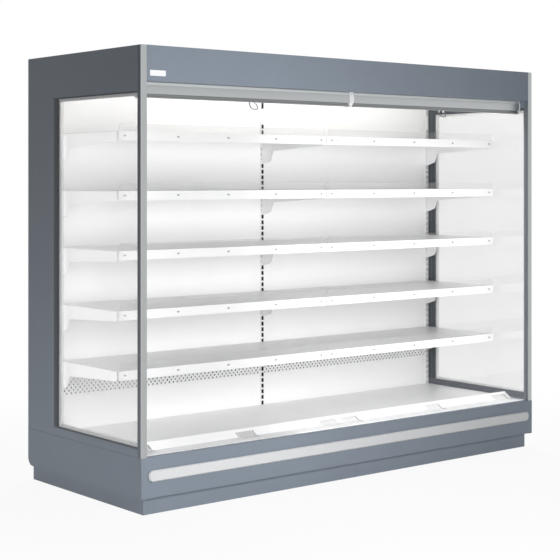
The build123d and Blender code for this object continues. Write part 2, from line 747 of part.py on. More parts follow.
def fan_blades():
    """Hub with five pitched, cambered blades that taper towards their tips."""
    blade_count = 5
    blade_pitch = 28
    hub_radius = 20
    tip_radius = FAN_RADIUS - 3
    root_half = 24
    tip_half = 17
    camber = Polyline((-root_half, 0), (-root_half / 3, 4), (root_half / 3, 4), (root_half, 0))
    section = make_face(offset(camber, amount=2, side=Side.LEFT).edges())
    blade = extrude(Plane.YZ.offset(hub_radius - 4) * section, tip_radius - hub_radius + 4)
    plan = Polyline(
        (hub_radius - 4, -hub_radius / 2),
        (tip_radius, -tip_half),
        (tip_radius, tip_half),
        (hub_radius - 4, hub_radius / 2),
        close=True,
    )
    blade &= extrude(Plane.XY.offset(-20) * make_face(plan), 40)
    rotor = Pos(0, 0, -HUB_LENGTH / 2) * extrude(RegularPolygon(hub_radius, 3 * blade_count), HUB_LENGTH)
    for number in range(blade_count):
        rotor += Rot(0, 0, number * 360 / blade_count) * (Rot(blade_pitch, 0, 0) * blade)
    rotor -= Cylinder(SHAFT_RADIUS + RUNNING_CLEARANCE, 3 * HUB_LENGTH)
    return FAN_NORMAL * (Pos(0, 0, -4) * rotor)


def evaporator_coil():
    """Finned block in the rear duct, with the stubs of its return bends at both ends."""
    fin_count = 16
    fin_half = 1.5
    half = 1150
    pitch = 2 * half / fin_count
    depth_span = [797, 905]
    z_span = [TUB_FLOOR, 470]
    coil = slab([-half, half], [depth_span[0] + 24, depth_span[1] - 24], z_span)
    for number in range(fin_count + 1):
        x = -half + number * pitch
        coil += slab([x - fin_half, x + fin_half], depth_span, z_span)
    for height in (200, 300, 400):
        for end in (-half - 30, half):
            coil += slab([end, end + 30], [840, 856], [height - 8, height + 8])
    return coil


def save_casing():
    save("base_frame", base_frame())
    save("levelling_feet", levelling_feet())
    save("kick_front_left", kick_front([-OUTER_HALF + KICK_INSET + KICK_CORNER, -0.5]))
    save("kick_front_right", kick_front([0.5, OUTER_HALF - KICK_INSET - KICK_CORNER]))
    save("kick_sides", kick_sides())
    save("kick_corners", kick_corners())
    save("base_tub", base_tub())
    save("base_front_panel", base_front_panel())
    save("bumper_rail", bumper_rail())
    save_pair("base_end", base_end())
    save_pair("end_frame", end_frame())
    save_pair("end_glass", end_glass())
    save_pair("glass_surround", glass_surround())
    save_pair("end_post", end_post())
    save("rear_wall", rear_wall())
    save("roof_panel", roof_panel())
    save("fascia", fascia())
    save("canopy_liner", canopy_liner())
    save("discharge_grille", discharge_grille())
    save("canopy_lamp", canopy_lamp())


def save_blinds():
    save("blind_end_caps", blind_end_caps())
    save_per_module("blind_casing", blind_casing())
    save_per_module("blind_roller", blind_roller())
    save_per_module("blind_cloth", blind_cloth())
    save_per_module("pull_bar", pull_bar())
    save_per_module("pull_loop", pull_loop())


def save_interior():
    save_pair("back_panel", back_panel())
    save("uprights", uprights())
    save("shelf_brackets", shelf_brackets())
    save("shelf_fences", shelf_fences())
    for number, level in enumerate(SHELF_LEVELS, start=1):
        save_pair(f"shelf_{number}", shelf(level))
    for side in MODULE_CENTRES:
        save(f"return_riser_{side}", return_riser(side))
    save_pair("deck_plate", deck_plate())
    save("fan_plates", fan_plates())
    save("fan_motors", fan_motors())
    save_per_module("fan_blades", fan_blades())
    save("evaporator_coil", evaporator_coil())


os.makedirs("parts", exist_ok=True)
save_casing()
save_blinds()
save_interior()
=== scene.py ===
import json
from math import cos, pi, radians, sin

import bmesh
import bpy
from mathutils import Matrix, Vector


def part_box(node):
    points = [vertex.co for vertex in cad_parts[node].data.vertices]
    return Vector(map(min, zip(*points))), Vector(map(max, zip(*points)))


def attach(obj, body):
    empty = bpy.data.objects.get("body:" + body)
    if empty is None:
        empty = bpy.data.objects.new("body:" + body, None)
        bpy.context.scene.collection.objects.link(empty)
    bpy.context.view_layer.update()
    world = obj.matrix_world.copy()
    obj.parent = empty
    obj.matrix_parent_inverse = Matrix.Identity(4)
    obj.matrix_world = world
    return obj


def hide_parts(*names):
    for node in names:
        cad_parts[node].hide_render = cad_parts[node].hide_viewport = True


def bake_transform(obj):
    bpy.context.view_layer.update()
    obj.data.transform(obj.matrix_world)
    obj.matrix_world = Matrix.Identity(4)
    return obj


# ---- The cabinet as built, and the point it is looked at from ----
# An open multideck display fridge of two modules between glazed end walls. The eye is
# 1.47 m above the floor, in front of the left-hand corner, and looks level.

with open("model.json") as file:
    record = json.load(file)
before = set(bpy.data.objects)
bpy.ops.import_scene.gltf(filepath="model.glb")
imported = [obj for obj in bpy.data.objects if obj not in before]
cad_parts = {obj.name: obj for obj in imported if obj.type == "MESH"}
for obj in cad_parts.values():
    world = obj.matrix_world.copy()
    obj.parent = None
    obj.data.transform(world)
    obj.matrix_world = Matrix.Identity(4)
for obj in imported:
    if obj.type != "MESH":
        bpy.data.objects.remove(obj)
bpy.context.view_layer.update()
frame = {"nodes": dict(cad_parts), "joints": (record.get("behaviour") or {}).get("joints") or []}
FRONT = -0.489          # y of the posts' face, metres


def back(depth_mm):
    """Place in y of a point this far behind the posts' face."""
    return FRONT + depth_mm / 1000


camera_data = bpy.data.cameras.new("eye")
camera_data.lens = 90.17
camera_data.sensor_width = 36
camera_data.shift_y = -0.1793
camera = bpy.data.objects.new("eye", camera_data)
camera.location = (-4.6587, -5.5678, 1.4655)
camera.rotation_euler = (radians(90), 0, radians(-39.283))
bpy.context.scene.collection.objects.link(camera)
bpy.context.scene.camera = camera
bpy.context.scene.view_settings.view_transform = "Standard"


# ---- Studio: white sweep and six soft lamps ----
# The sweep is painted board. Reflections see it plain white. So does the camera, apart
# from a small share near the cabinet that shows the plinth's light shadow.

def linear(code, alpha=1.0):
    """Linear colour of an sRGB hex code."""
    parts = [int(code[place:place + 2], 16) / 255 for place in (1, 3, 5)]
    return (*[c / 12.92 if c <= 0.04045 else ((c + 0.055) / 1.055) ** 2.4 for c in parts], alpha)


def add(tree, kind, inputs=None, **settings):
    """One node with its settings; an input given a socket is linked to it, any other is set."""
    node = tree.nodes.new(kind)
    for name, value in settings.items():
        setattr(node, name, value)
    for key, value in (inputs or {}).items():
        if isinstance(value, bpy.types.NodeSocket):
            tree.links.new(value, node.inputs[key])
        else:
            node.inputs[key].default_value = value
    return node


# The shadow's share is whole up to the first distance from the middle and gone at the second.
SHADOW_WHOLE = 1.5
SHADOW_GONE = 3.4
WHITE_IN_SHADOW = 0.93
sweep = bpy.data.materials.new("painted_board_white")
sweep.use_nodes = True
tree = sweep.node_tree
tree.nodes.clear()
path = add(tree, "ShaderNodeLightPath")
ground = add(tree, "ShaderNodeTexCoord")
reach = add(tree, "ShaderNodeVectorMath", {0: ground.outputs["Object"]}, operation="LENGTH")
plain = add(tree, "ShaderNodeMapRange",
            {0: reach.outputs["Value"], 1: SHADOW_WHOLE, 2: SHADOW_GONE,
             3: WHITE_IN_SHADOW, 4: 1.0},
            interpolation_type="SMOOTHSTEP")
seen = add(tree, "ShaderNodeMath", {0: path.outputs["Is Camera Ray"], 1: plain.outputs[0]},
           operation="MULTIPLY")
mirrored = add(tree, "ShaderNodeMath", {0: seen.outputs[0], 1: path.outputs["Is Glossy Ray"]},
               operation="MAXIMUM")
through = add(tree, "ShaderNodeMath",
              {0: mirrored.outputs[0], 1: path.outputs["Is Transmission Ray"]}, operation="MAXIMUM")
board = add(tree, "ShaderNodeBsdfDiffuse", {"Color": linear("#D2D2D2")})
glow = add(tree, "ShaderNodeEmission", {"Color": linear("#FFFFFF"), "Strength": 1.0})
mixed = add(tree, "ShaderNodeMixShader",
            {0: through.outputs[0], 1: board.outputs[0], 2: glow.outputs[0]})
add(tree, "ShaderNodeOutputMaterial", {"Surface": mixed.outputs[0]})

bm = bmesh.new()
bmesh.ops.create_grid(bm, x_segments=1, y_segments=1, size=20)
sheet_mesh = bpy.data.meshes.new("studio_floor")
bm.to_mesh(sheet_mesh)
bm.free()
sheet_mesh.materials.append(sweep)
studio_floor = bpy.data.objects.new("studio_floor", sheet_mesh)
bpy.context.scene.collection.objects.link(studio_floor)

world = bpy.data.worlds.new("studio")
bpy.context.scene.world = world
world.use_nodes = True
tree = world.node_tree
tree.nodes.clear()
path = add(tree, "ShaderNodeLightPath")
seen = add(tree, "ShaderNodeMath",
           {0: path.outputs["Is Camera Ray"], 1: path.outputs["Is Glossy Ray"]},
           operation="MAXIMUM")
seen = add(tree, "ShaderNodeMath", {0: seen.outputs[0], 1: path.outputs["Is Transmission Ray"]},
           operation="MAXIMUM")
ambient = add(tree, "ShaderNodeBackground", {"Color": linear("#F0F4FF"), "Strength": 0.09})
white = add(tree, "ShaderNodeBackground", {"Color": linear("#FFFFFF"), "Strength": 1.0})
mixed = add(tree, "ShaderNodeMixShader",
            {0: seen.outputs[0], 1: ambient.outputs[0], 2: white.outputs[0]})
add(tree, "ShaderNodeOutputWorld", {"Surface": mixed.outputs[0]})


def soft_lamp(name, place, aim, size, watts):
    """Diffusing lamp that looks from place to aim and shows in no reflection."""
    lamp = bpy.data.lights.new(name, "AREA")
    lamp.shape = "RECTANGLE"
    lamp.size, lamp.size_y = size
    lamp.energy = watts
    holder = bpy.data.objects.new(name, lamp)
    turned = (Vector(aim) - Vector(place)).to_track_quat("-Z", "Y")
    holder.matrix_world = Matrix.Translation(place) @ turned.to_matrix().to_4x4()
    bpy.context.scene.collection.objects.link(holder)
    holder.visible_camera = False
    holder.visible_glossy = False


# Three lamps outside: at the front, high behind, and low along the left-hand side.
soft_lamp("lamp_front", (-1.05, -2.8, 1.2), (-0.5, 0.0, 1.1), (1.3, 1.2), 65)
soft_lamp("lamp_back", (2.7, 2.9, 3.5), (0.3, 0.3, 1.2), (2.6, 1.4), 230)
soft_lamp("lamp_side", (-2.5, -0.1, 0.12), (-1.3, 0.1, 0.0), (1.8, 0.2), 6)
# Three for the inside: in the opening, in the left-hand glass, and in the corner behind it.
soft_lamp("lamp_inside", (0.65, back(20), 0.95), (0.65, back(800), 0.95), (2.0, 1.6), 9)
soft_lamp("lamp_window", (-1.262, back(371), 1.07), (0, back(371), 1.07), (0.66, 1.5), 3.4)
soft_lamp("lamp_corner", (-1.2475, back(732), 1.07), (0, back(732), 1.07), (0.062, 1.5), 0.32)


# ---- Underframe and levelling feet ----
# Square tube welded into a ladder and zinc plated: dull silver, with the plating's faint
# clouds. Each foot is a black moulded pad turned on a plated, threaded stud.

def material_for(name, colour, roughness, metallic=0.0):
    """Material of one shader with its plain settings."""
    material = bpy.data.materials.new(name)
    material.use_nodes = True
    shader = material.node_tree.nodes["Principled BSDF"]
    shader.inputs["Base Color"].default_value = linear(colour)
    shader.inputs["Roughness"].default_value = roughness
    shader.inputs["Metallic"].default_value = metallic
    return material, material.node_tree, shader


def surface_detail(tree, shader, shades, cloud_mm, grain_mm, grain_depth_mm, rough_span,
                   stretch=(1, 1, 1)):
    """Clouding between two shades, grain as relief, and roughness that varies with the grain."""
    place = add(tree, "ShaderNodeTexCoord")
    drawn = add(tree, "ShaderNodeMapping", {"Vector": place.outputs["Object"], "Scale": stretch})
    cloud = add(tree, "ShaderNodeTexNoise",
                {"Vector": drawn.outputs[0], "Scale": 1000 / cloud_mm, "Detail": 3.0})
    shade = add(tree, "ShaderNodeMix",
                {0: cloud.outputs[0], 6: linear(shades[0]), 7: linear(shades[1])}, data_type="RGBA")
    grain = add(tree, "ShaderNodeTexNoise",
                {"Vector": drawn.outputs[0], "Scale": 1000 / grain_mm, "Detail": 2.0})
    gloss = add(tree, "ShaderNodeMapRange",
                {0: grain.outputs[0], 3: rough_span[0], 4: rough_span[1]})
    relief = add(tree, "ShaderNodeBump",
                 {"Height": grain.outputs[0], "Strength": 0.5, "Distance": grain_depth_mm / 1000})
    tree.links.new(shade.outputs[2], shader.inputs["Base Color"])
    tree.links.new(gloss.outputs[0], shader.inputs["Roughness"])
    tree.links.new(relief.outputs[0], shader.inputs["Normal"])
    return shade


def ease(piece, radius_mm):
    """Small radius on a piece's sharp edges."""
    joined = piece.modifiers.new("joined", "WELD")
    joined.merge_threshold = 0.00002
    eased = piece.modifiers.new("eased", "BEVEL")
    eased.width = radius_mm / 1000
    eased.segments = 2
    eased.limit_method = "ANGLE"
    eased.angle_limit = radians(35)
    eased.harden_normals = True


def finish_nodes(material, names, easing_mm=0.0):
    """Material on CAD nodes, with their sharp edges eased."""
    for name in names:
        node = frame["nodes"][name]
        node.data.materials.clear()
        node.data.materials.append(material)
        if easing_mm:
            ease(node, easing_mm)


zinc_plate, tree, shader = material_for("zinc_plated_steel", "#A7ABAD", 0.42, 0.85)
surface_detail(tree, shader, ("#999DA0", "#B5B9BB"), 45, 5, 0.03, (0.34, 0.55))
finish_nodes(zinc_plate, ["base_frame"], 1.0)

# Nylon below, plated stud above; the 1.5 mm thread is drawn every 3 mm so that it shows.
PAD_TOP = 0.016
THREAD_DRAWN = 0.003
THREAD_DEPTH = 0.0004
foot_finish, tree, shader = material_for("moulded_nylon_pad_plated_stud", "#2C2E30", 0.5)
shade = surface_detail(tree, shader, ("#27292B", "#333537"), 20, 2, 0.03, (0.40, 0.56))
place = add(tree, "ShaderNodeTexCoord")
axes = add(tree, "ShaderNodeSeparateXYZ", {0: place.outputs["Object"]})
stud = add(tree, "ShaderNodeMath", {0: axes.outputs[2], 1: PAD_TOP}, operation="GREATER_THAN")
turns = add(tree, "ShaderNodeMath", {0: axes.outputs[2], 1: 2 * pi / THREAD_DRAWN},
            operation="MULTIPLY")
thread = add(tree, "ShaderNodeMath", {0: turns.outputs[0]}, operation="SINE")
cut = add(tree, "ShaderNodeMath", {0: thread.outputs[0], 1: stud.outputs[0]}, operation="MULTIPLY")
relief = add(tree, "ShaderNodeBump",
             {"Height": cut.outputs[0], "Strength": 0.6, "Distance": THREAD_DEPTH})
both = add(tree, "ShaderNodeMix", {0: stud.outputs[0], 6: shade.outputs[2], 7: linear("#A7ABAD")},
           data_type="RGBA")
tree.links.new(both.outputs[2], shader.inputs["Base Color"])
tree.links.new(stud.outputs[0], shader.inputs["Metallic"])
tree.links.new(relief.outputs[0], shader.inputs["Normal"])
finish_nodes(foot_finish, ["levelling_feet"], 0.5)


# ---- Insulated tub ----
# Foam between a steel outer skin and a vacuum-formed plastic liner, smooth and slightly
# glossy so that defrost water runs off it to the drain.

tub_liner, tree, shader = material_for("vacuum_formed_abs_white", "#E4E6E6", 0.32)
surface_detail(tree, shader, ("#DEE0E0", "#EAECEC"), 200, 7, 0.03, (0.26, 0.42))
finish_nodes(tub_liner, ["base_tub"], 0.8)


# ---- Fans under the deck ----
# Folded galvanised bulkheads with a round orifice for each fan. The motors are enamelled
# black, and their rotors are moulded in glass-filled nylon.

# Hot-dip zinc leaves angular spangle about 12 mm across.
SPANGLE_MM = 12
galvanised, tree, shader = material_for("hot_dip_galvanised_sheet", "#ABAFB1", 0.4, 0.9)
surface_detail(tree, shader, ("#A3A7A9", "#B3B7B9"), 300, 6, 0.02, (0.32, 0.50))
place = add(tree, "ShaderNodeTexCoord")
spangle = add(tree, "ShaderNodeTexVoronoi",
              {"Vector": place.outputs["Object"], "Scale": 1000 / SPANGLE_MM})
grey = add(tree, "ShaderNodeSeparateColor", {0: spangle.outputs["Color"]})
flake = add(tree, "ShaderNodeMix",
            {0: grey.outputs[0], 6: linear("#9CA0A3"), 7: linear("#B9BDBF")}, data_type="RGBA")
tree.links.new(flake.outputs[2], shader.inputs["Base Color"])
finish_nodes(galvanised, ["fan_plates"], 0.5)

motor_enamel, tree, shader = material_for("stove_enamel_black", "#33363A", 0.45)
surface_detail(tree, shader, ("#2E3134", "#3B3E42"), 40, 3, 0.04, (0.36, 0.55))
finish_nodes(motor_enamel, ["fan_motors"], 0.6)

rotor_nylon, tree, shader = material_for("moulded_glass_filled_nylon", "#26282A", 0.48)
surface_detail(tree, shader, ("#212325", "#2D2F31"), 25, 1.5, 0.03, (0.40, 0.60))
finish_nodes(rotor_nylon, ["fan_blades_left", "fan_blades_right"], 0.6)


# ---- Cooling coil ----
# Thin mill-finish aluminium fins pressed onto copper tubes, whose return bends stand out
# at both ends of the block.

# Fins stand 4 mm apart; one line every 8 mm shows here.
FIN_DRAWN = 0.008
FIN_RELIEF = 0.001
BLOCK_END = 1.1505
fin_stock, tree, shader = material_for("mill_finish_aluminium_fins", "#BFC2C4", 0.38, 1.0)
shade = surface_detail(tree, shader, ("#B4B7B9", "#C9CCCE"), 70, 3, 0.02, (0.30, 0.48))
place = add(tree, "ShaderNodeTexCoord")
axes = add(tree, "ShaderNodeSeparateXYZ", {0: place.outputs["Object"]})
across = add(tree, "ShaderNodeMath", {0: axes.outputs[0], 1: 2 * pi / FIN_DRAWN},
             operation="MULTIPLY")
fins = add(tree, "ShaderNodeMath", {0: across.outputs[0]}, operation="SINE")
# The dark colour between the fins is painted shade for the deep gaps between them.
gap = add(tree, "ShaderNodeMapRange", {0: fins.outputs[0], 1: -0.2, 2: 0.8})
fins_with_painted_gap_shade = add(tree, "ShaderNodeMix", {0: gap.outputs[0], 6: linear("#5E6163"), 7: shade.outputs[2]},
             data_type="RGBA")
outward = add(tree, "ShaderNodeMath", {0: axes.outputs[0]}, operation="ABSOLUTE")
tube_end = add(tree, "ShaderNodeMath", {0: outward.outputs[0], 1: BLOCK_END},
               operation="GREATER_THAN")
ends = add(tree, "ShaderNodeMix",
           {0: tube_end.outputs[0], 6: fins_with_painted_gap_shade.outputs[2], 7: linear("#B4795A")}, data_type="RGBA")
relief = add(tree, "ShaderNodeBump",
             {"Height": gap.outputs[0], "Strength": 0.6, "Distance": FIN_RELIEF})
tree.links.new(ends.outputs[2], shader.inputs["Base Color"])
tree.links.new(relief.outputs[0], shader.inputs["Normal"])
finish_nodes(fin_stock, ["evaporator_coil"], 0.5)


# ---- Painted outer panels: end frames, lower ends, fascia, lower front, plinth ----
# Folded steel sheet in a fine satin powder coat of blue-grey, half-matt, so that it takes
# only a broad pale sheen. The coat shows faint orange peel, and every fold is eased 0.8 mm.

powder_coat, tree, shader = material_for("powder_coat_blue_grey", "#7E8893", 0.46)
# The orange peel's real waves are about 2 mm long; 9 mm shows at this distance.
surface_detail(tree, shader, ("#7B8590", "#848D98"), 320, 9, 0.05, (0.40, 0.52))
for side in ("left", "right"):
    finish_nodes(powder_coat, [f"end_frame_{side}", f"base_end_{side}", f"kick_front_{side}"], 0.8)
finish_nodes(powder_coat, ["fascia", "base_front_panel", "kick_sides", "kick_corners"], 0.8)


# ---- Plate on the fascia ----
# Small bare plate of white enamelled aluminium, 83 by 25 mm, glued near the fascia's left
# end. Its corners are rounded and its rim stands a little above the field.

def solid_from(bm, name, material, body, smooth=False):
    """Object from a mesh in its place, riding on a body."""
    bmesh.ops.remove_doubles(bm, verts=bm.verts, dist=1e-6)
    bmesh.ops.recalc_face_normals(bm, faces=bm.faces)
    for face in bm.faces:
        face.smooth = smooth
    mesh = bpy.data.meshes.new(name)
    bm.to_mesh(mesh)
    bm.free()
    mesh.materials.append(material)
    piece = bpy.data.objects.new(name, mesh)
    bpy.context.scene.collection.objects.link(piece)
    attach(piece, body)
    return piece


plate_enamel, tree, shader = material_for("stove_enamelled_aluminium_white", "#F3F3F4", 0.3)
surface_detail(tree, shader, ("#EFEFF1", "#F8F8F9"), 20, 2, 0.02, (0.22, 0.36))
PLATE_WIDTH = 0.083
PLATE_HEIGHT = 0.025
PLATE_THICKNESS = 0.0012
PLATE_CORNER = 0.003
PLATE_LEFT = 0.015
PLATE_MIDDLE_HEIGHT = 1.9305
RIM_WIDTH = 0.0012
RIM_SLOPE = 0.0003
FIELD_SINK = 0.0004
fascia_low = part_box("fascia")[0]
bm = bmesh.new()
bmesh.ops.create_cube(bm, size=1,
                      matrix=Matrix.Diagonal((PLATE_WIDTH, PLATE_THICKNESS, PLATE_HEIGHT, 1)))
corners = [edge for edge in bm.edges
           if abs((edge.verts[0].co - edge.verts[1].co).y) > PLATE_THICKNESS / 2]
bmesh.ops.bevel(bm, geom=corners, offset=PLATE_CORNER, offset_type="OFFSET", segments=4,
                profile=0.5, affect="EDGES", material=-1)
face = min(bm.faces, key=lambda side: side.calc_center_median().y)
bmesh.ops.inset_individual(bm, faces=[face], thickness=RIM_WIDTH)
bmesh.ops.inset_individual(bm, faces=[face], thickness=RIM_SLOPE, depth=-FIELD_SINK)
plate_place = (fascia_low.x + PLATE_LEFT + PLATE_WIDTH / 2, fascia_low.y - PLATE_THICKNESS / 2,
               PLATE_MIDDLE_HEIGHT)
bmesh.ops.translate(bm, verts=bm.verts, vec=plate_place)
solid_from(bm, "fascia_plate", plate_enamel, "cabinet")


# ---- Rear wall and roof panel ----
# Foamed panels with a light grey coil-coated steel skin. They stand against a shop wall,
# so they are left plain, and the rolled sheet shows a faint grain along its length.

coil_coated, tree, shader = material_for("coil_coated_steel_grey", "#AEB4B7", 0.5)
surface_detail(tree, shader, ("#A8AEB2", "#B6BBBE"), 500, 12, 0.03, (0.42, 0.58), (0.15, 1, 1))
finish_nodes(coil_coated, ["rear_wall", "roof_panel"], 1.0)


# ---- Gasket frames round the end glass ----
# Extruded rubber and rigid profile round each sealed unit: matt and dark, with fine lines
# along its length. The front leg and the sill are painted paler as painted light, and a
# paler band on the rear leg is a painted highlight along its lip.

gasket, tree, shader = material_for("extruded_gasket_dark", "#4C5055", 0.62)
shade = surface_detail(tree, shader, ("#484C51", "#52565A"), 60, 4, 0.08, (0.55, 0.7), (1, 1, 0.05))
FRONT_LEG_REAR = back(29)
SILL_PAINTED_LIGHT_TOP = 0.3
PAINTED_HIGHLIGHT_MIDDLE = back(736)
PAINTED_HIGHLIGHT_HALF = 0.006
place = add(tree, "ShaderNodeTexCoord")
axes = add(tree, "ShaderNodeSeparateXYZ", {0: place.outputs["Object"]})
# Painted light: paler colour on the front leg and the sill, and a painted highlight band on the
# rear leg.
painted_light_front_leg = add(tree, "ShaderNodeMath", {0: axes.outputs[1], 1: FRONT_LEG_REAR}, operation="LESS_THAN")
painted_highlight_lip = add(tree, "ShaderNodeMath", {0: axes.outputs[1], 1: PAINTED_HIGHLIGHT_MIDDLE, 2: PAINTED_HIGHLIGHT_HALF},
          operation="COMPARE")
painted_light_sill = add(tree, "ShaderNodeMath", {0: axes.outputs[2], 1: SILL_PAINTED_LIGHT_TOP}, operation="LESS_THAN")
for where, colour in ((painted_highlight_lip, "#5A5E62"), (painted_light_sill, "#63676C"), (painted_light_front_leg, "#747980")):
    shade = add(tree, "ShaderNodeMix",
                {0: where.outputs[0], 6: shade.outputs[2], 7: linear(colour)}, data_type="RGBA")
tree.links.new(shade.outputs[2], shader.inputs["Base Color"])

# The inside trim ends flush with the panes' front edge, 30 mm behind the posts' face.
TRIM_CUT = back(37)
PANE_EDGE = back(30)
for side in ("left", "right"):
    bm = bmesh.new()
    bm.from_mesh(frame["nodes"][f"glass_surround_{side}"].data)
    bmesh.ops.remove_doubles(bm, verts=bm.verts, dist=1e-5)
    for vert in bm.verts:
        if abs(vert.co.y - TRIM_CUT) < 1e-4:
            vert.co.y = PANE_EDGE
    frame_piece = solid_from(bm, f"gasket_frame_{side}", gasket, "cabinet")
    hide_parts(f"glass_surround_{side}")
    ease(frame_piece, 0.6)


# ---- Sealed units in the end walls ----
# Two clear toughened panes 14 mm apart, which fade into a mirror at a grazing look. A
# white spacer bar of matt warm-edge plastic, 13 mm wide, runs round between them.

PANE_TINT = ("#FAFAFA", "#FCFCFC")
SHINE_AHEAD = 0.04
SHINE_GRAZING = 0.9
clear_glass = bpy.data.materials.new("toughened_glass_clear")
clear_glass.use_nodes = True
tree = clear_glass.node_tree
tree.nodes.clear()
tilt = add(tree, "ShaderNodeLayerWeight", {"Blend": 0.5})
grazing = add(tree, "ShaderNodeMath", {0: tilt.outputs["Facing"], 1: 5.0}, operation="POWER")
gloss_share = add(tree, "ShaderNodeMath",
                  {0: grazing.outputs[0], 1: SHINE_GRAZING, 2: SHINE_AHEAD},
                  operation="MULTIPLY_ADD")
dust_place = add(tree, "ShaderNodeTexCoord")
dust = add(tree, "ShaderNodeTexNoise",
           {"Vector": dust_place.outputs["Object"], "Scale": 3.0, "Detail": 4.0})
tint = add(tree, "ShaderNodeMix",
           {0: dust.outputs[0], 6: linear(PANE_TINT[0]), 7: linear(PANE_TINT[1])}, data_type="RGBA")
clear = add(tree, "ShaderNodeBsdfTransparent", {"Color": tint.outputs[2]})
mirror = add(tree, "ShaderNodeBsdfGlossy", {"Color": linear("#FFFFFF"), "Roughness": 0.03})
mixed = add(tree, "ShaderNodeMixShader",
            {0: gloss_share.outputs[0], 1: clear.outputs[0], 2: mirror.outputs[0]})
add(tree, "ShaderNodeOutputMaterial", {"Surface": mixed.outputs[0]})
finish_nodes(clear_glass, ["end_glass_left", "end_glass_right"])

spacer_plastic, tree, shader = material_for("extruded_spacer_white", "#F4F4F4", 0.5)
surface_detail(tree, shader, ("#F1F1F1", "#F9F9F9"), 80, 3, 0.02, (0.42, 0.58), (1, 1, 0.05))
SPACER_WIDTH = 0.013
SPACER_DEPTH = 0.0138
PANE_AND_BOND = 0.0041
for side in ("left", "right"):
    low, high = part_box(f"end_glass_{side}")
    middle = (low + high) / 2
    bm = bmesh.new()
    bmesh.ops.create_grid(bm, x_segments=1, y_segments=1, size=0.5)
    bmesh.ops.transform(bm, verts=bm.verts, matrix=Matrix.Rotation(radians(90), 4, "Y"))
    bmesh.ops.scale(bm, verts=bm.verts, vec=(1, high.y - low.y, high.z - low.z))
    pane_face = bm.faces[:]
    bmesh.ops.inset_region(bm, faces=pane_face, thickness=SPACER_WIDTH, use_boundary=True,
                           use_even_offset=True)
    bmesh.ops.delete(bm, geom=pane_face, context="FACES")
    swept = bmesh.ops.extrude_face_region(bm, geom=bm.faces[:])
    moved = [part for part in swept["geom"] if isinstance(part, bmesh.types.BMVert)]
    bmesh.ops.translate(bm, verts=moved, vec=(SPACER_DEPTH, 0, 0))
    bmesh.ops.translate(bm, verts=bm.verts, vec=(low.x + PANE_AND_BOND, middle.y, middle.z))
    solid_from(bm, f"glazing_spacer_{side}", spacer_plastic, "cabinet")


# ---- Dark strips above the end glass, as painted shade ----
# Dark strips of the gaskets' profile, 2 mm thick and 45 mm high, lie on the inner face of
# each end wall's header below the ceiling, a painted shade for the shade that falls there.

def add_block(bm, low, high, bevel_mm=0.0, segments=2):
    """Block between two corners in metres, its edges rounded."""
    centre = (Vector(low) + Vector(high)) / 2
    size = Vector(high) - Vector(low)
    made = bmesh.ops.create_cube(bm, size=1,
                                 matrix=Matrix.Translation(centre) @ Matrix.Diagonal((*size, 1)))
    if bevel_mm:
        edges = list({edge for vert in made["verts"] for edge in vert.link_edges})
        bmesh.ops.bevel(bm, geom=edges, offset=bevel_mm / 1000, offset_type="OFFSET",
                        segments=segments, profile=0.5, affect="EDGES", material=-1)


STRIP_THICKNESS = 0.002
STRIP_LOW = 1.8573
STRIP_HIGH = 1.9025
STRIP_FRONT = back(122)
STRIP_REAR = back(763)
for side, inward in (("left", 1), ("right", -1)):
    trim_low, trim_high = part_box(f"glass_surround_{side}")
    inner_face = trim_high.x if side == "left" else trim_low.x
    wall_face = inner_face - inward * STRIP_THICKNESS
    low = (min(inner_face, wall_face), STRIP_FRONT, STRIP_LOW)
    high = (max(inner_face, wall_face), STRIP_REAR, STRIP_HIGH)
    # Each strip is a painted shade on the header's inner face.
    bm = bmesh.new()
    add_block(bm, low, high, 0.6)
    solid_from(bm, f"header_painted_shade_strip_{side}", gasket, "cabinet")


# ---- Front posts, blind casings and pull bars ----
# Extruded aluminium with a satin natural anodising. The die leaves fine lines along each
# extrusion, upright on the posts and lengthways on the casings and pull bars.

anodised_upright, tree, shader = material_for("anodised_aluminium_upright", "#B4B7B8", 0.36, 1.0)
# Die lines are about 0.3 mm apart; 2 mm shows here.
surface_detail(tree, shader, ("#AFB2B3", "#BABDBE"), 90, 2, 0.015, (0.30, 0.44), (1, 1, 0.01))
finish_nodes(anodised_upright, ["end_post_left", "end_post_right"], 0.4)

anodised_lengthways, tree, shader = material_for("anodised_aluminium_lengthways", "#BCBFBF", 0.38,
                                                 1.0)
surface_detail(tree, shader, ("#B7BABA", "#C2C5C5"), 90, 2, 0.015, (0.32, 0.46), (0.01, 1, 1))
finish_nodes(anodised_lengthways, ["blind_casing_left", "blind_casing_right"], 0.5)

# A half-round bead, 13 mm high, caps each casing close under the fascia; its paler colour is a
# painted highlight.
bead_painted_highlight, tree, shader = material_for("anodised_aluminium_bead_painted_highlight", "#D3D6D6", 0.5, 0.6)
surface_detail(tree, shader, ("#CED1D1", "#DADDDD"), 90, 2, 0.015, (0.44, 0.58), (0.01, 1, 1))
BEAD_LOW = 1.8812
BEAD_HIGH = 1.8945
BEAD_FRONT = 0.0002
BEAD_REAR = 0.0049
for side in ("left", "right"):
    casing_low, casing_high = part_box(f"blind_casing_{side}")
    low = (casing_low.x, casing_low.y + BEAD_FRONT, BEAD_LOW)
    high = (casing_high.x, casing_low.y + BEAD_REAR, BEAD_HIGH)
    bm = bmesh.new()
    add_block(bm, low, high, 1.5, 3)
    solid_from(bm, f"casing_bead_{side}", bead_painted_highlight, "cabinet")

